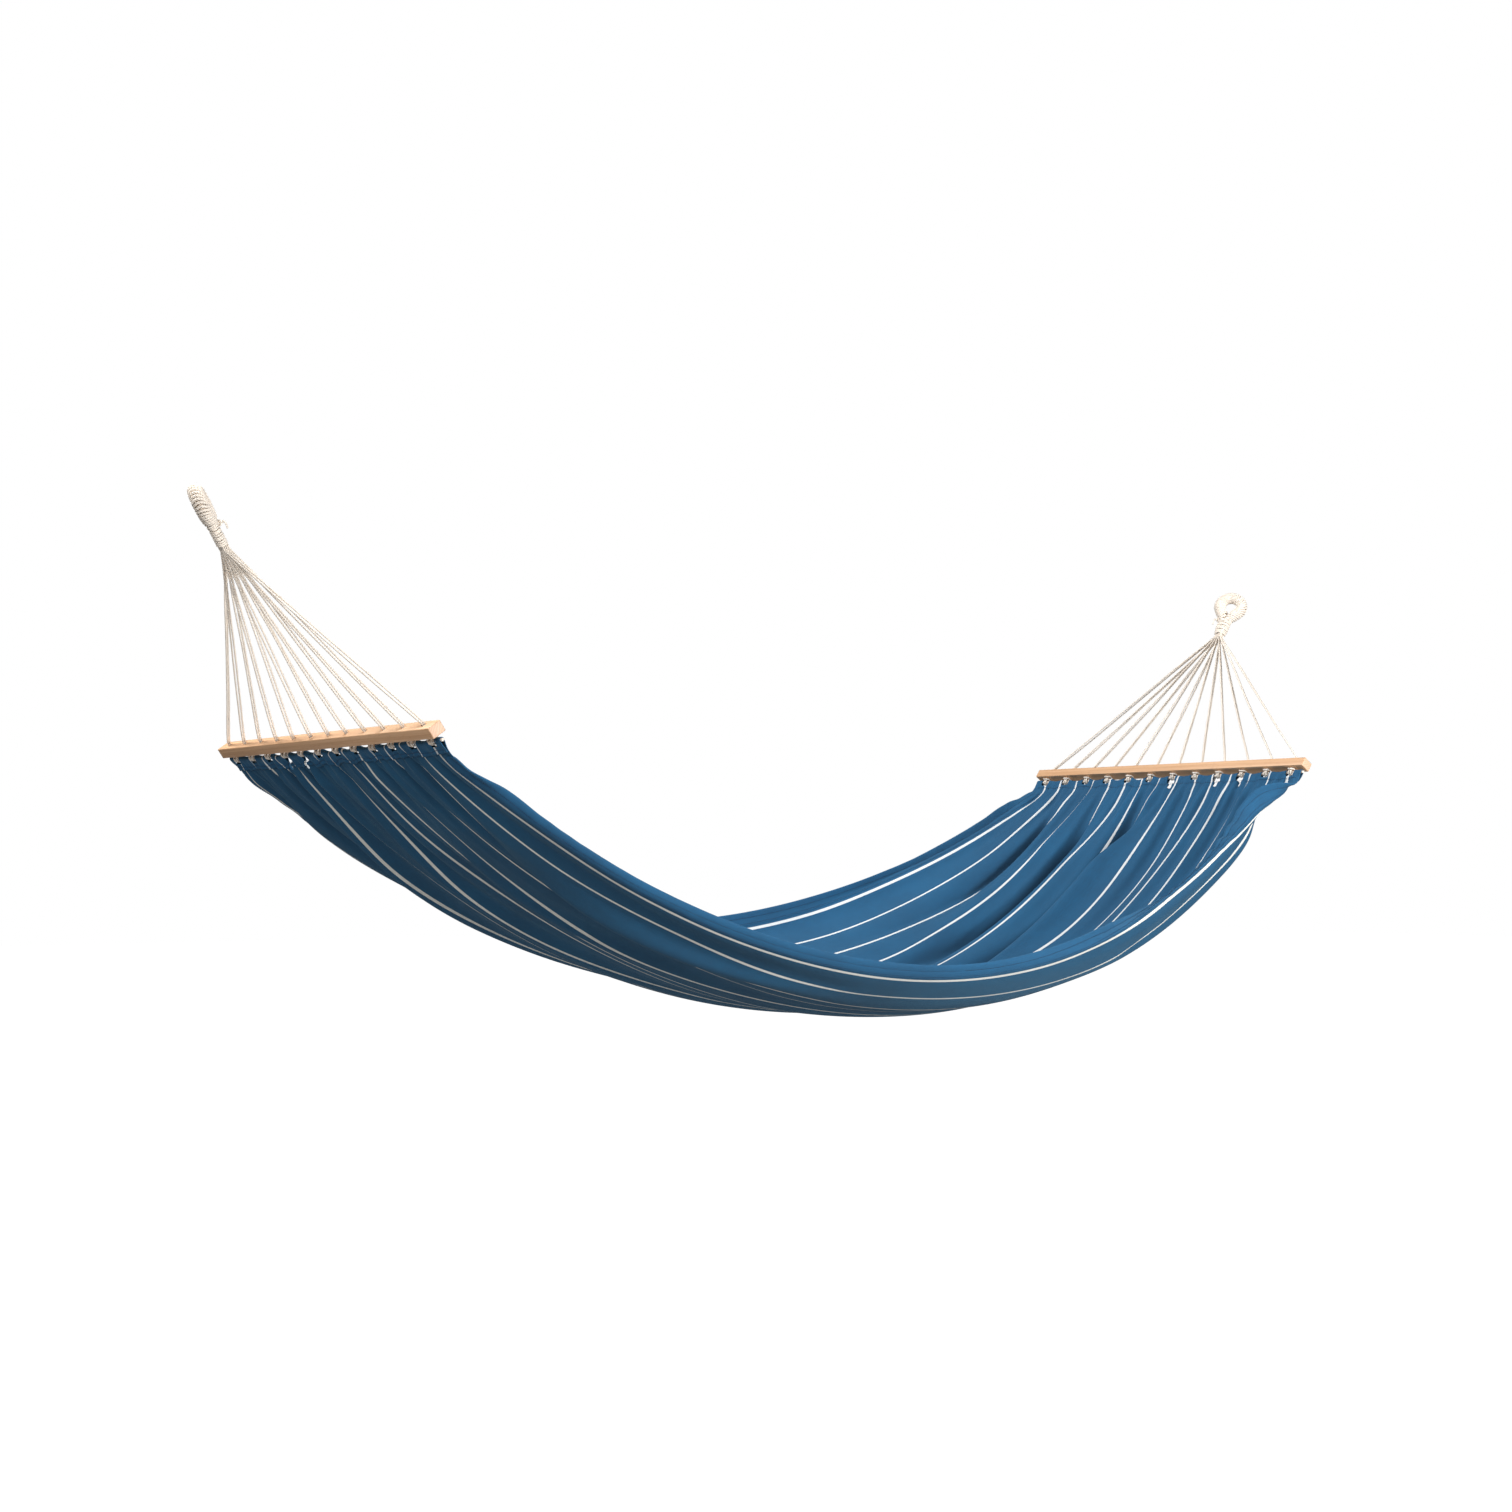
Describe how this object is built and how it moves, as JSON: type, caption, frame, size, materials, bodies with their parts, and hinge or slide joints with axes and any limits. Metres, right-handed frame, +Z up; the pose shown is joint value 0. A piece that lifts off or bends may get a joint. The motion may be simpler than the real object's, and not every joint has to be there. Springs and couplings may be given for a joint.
{
  "type": "spreader bar hammock",
  "caption": "Striped cloth hammock bed slung between two drilled wooden spreader bars, with fans of doubled cotton cord running up to cord-wrapped hanging eyes.",
  "frame": {"origin": "midway between the two spreader bars, level with the lowest point of the bed", "axes": "+X along the hammock towards the right end, +Y along the bars towards the far side, +Z up"},
  "size_m": [2.5616, 1.0139, 0.9185],
  "materials": {
    "beech": "sanded beech with a thin clear oil, squared ends, straight fine grain",
    "cotton_cord": "undyed twisted cotton cord, matt and slightly hairy",
    "blue_cloth": "plain-woven blue cotton canvas with lengthwise white stripes, matt"
  },
  "bodies": {
    "left_eye": {"left_eye_core": "cotton_cord", "left_eye_serving": "cotton_cord", "left_neck_whipping": "cotton_cord"},
    "left_clew": {"left_spreader_bar": "beech", "left_cord_01": "cotton_cord", "left_cord_02": "cotton_cord", "left_cord_03": "cotton_cord", "left_cord_04": "cotton_cord", "left_cord_05": "cotton_cord", "left_cord_06": "cotton_cord", "left_cord_07": "cotton_cord", "left_cord_08": "cotton_cord", "left_cord_09": "cotton_cord", "left_cord_10": "cotton_cord", "left_cord_11": "cotton_cord", "left_cord_12": "cotton_cord", "left_hem_cord": "cotton_cord", "left_end_casing": "blue_cloth"},
    "bed": {"fabric_bed": "blue_cloth", "near_side_hem": "blue_cloth", "far_side_hem": "blue_cloth"},
    "right_clew": {"right_spreader_bar": "beech", "right_cord_01": "cotton_cord", "right_cord_02": "cotton_cord", "right_cord_03": "cotton_cord", "right_cord_04": "cotton_cord", "right_cord_05": "cotton_cord", "right_cord_06": "cotton_cord", "right_cord_07": "cotton_cord", "right_cord_08": "cotton_cord", "right_cord_09": "cotton_cord", "right_cord_10": "cotton_cord", "right_cord_11": "cotton_cord", "right_cord_12": "cotton_cord", "right_hem_cord": "cotton_cord", "right_end_casing": "blue_cloth"},
    "right_eye": {"right_eye_core": "cotton_cord", "right_eye_serving": "cotton_cord", "right_neck_whipping": "cotton_cord"}
  },
  "joints": [
    {"name": "left_neck_swing", "type": "hinge", "parent": "left_eye", "child": "left_clew", "pos_m": [-1.215, 0, 0.82153], "axis": [1, 0, 0], "range_deg": [-30, 30]},
    {"name": "left_bed_twist", "type": "hinge", "parent": "left_clew", "child": "bed", "pos_m": [-1.215, 0, 0.82153], "axis": [1, 0, 0], "range_deg": [-10, 10]},
    {"name": "right_bed_twist", "type": "hinge", "parent": "bed", "child": "right_clew", "pos_m": [1.215, 0, 0.82153], "axis": [-1, 0, 0], "range_deg": [-10, 10]},
    {"name": "right_neck_swing", "type": "hinge", "parent": "right_clew", "child": "right_eye", "pos_m": [1.215, 0, 0.82153], "axis": [1, 0, 0], "range_deg": [-30, 30]}
  ],
  "couplings": [
    {"joint": "right_neck_swing", "follows": "left_neck_swing", "ratio": -1}
  ]
}
